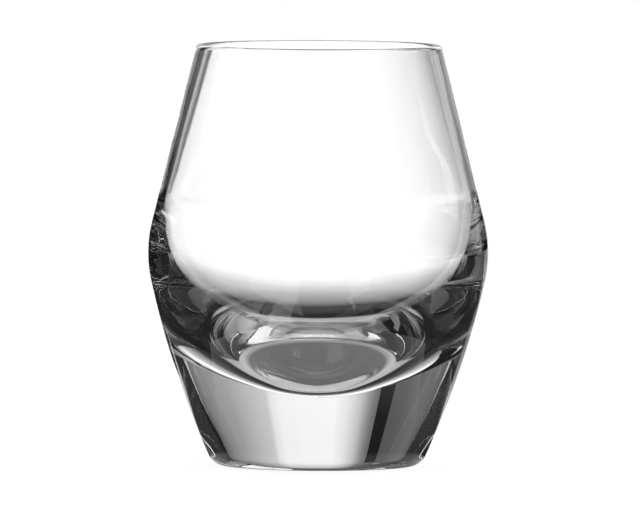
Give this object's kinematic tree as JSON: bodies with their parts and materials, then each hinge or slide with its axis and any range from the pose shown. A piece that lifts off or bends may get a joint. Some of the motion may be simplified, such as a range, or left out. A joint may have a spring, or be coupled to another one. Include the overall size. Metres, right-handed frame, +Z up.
{
  "type": "rocks glass",
  "caption": "Clear rocks glass with a tulip-shaped bowl, a narrow round mouth, a rounded belly and a thick solid base with a flat foot, for short drinks.",
  "frame": {"origin": "centre of the flat foot, on the table", "axes": "+Z up along the axis of the glass; X and Y are alike, since the glass is round"},
  "size_m": [0.085, 0.085, 0.105],
  "materials": {
    "clear_glass": "clear, colourless, fire-polished"
  },
  "bodies": {
    "root": {"lip": "clear_glass", "bowl": "clear_glass", "base": "clear_glass"}
  },
  "joints": []
}
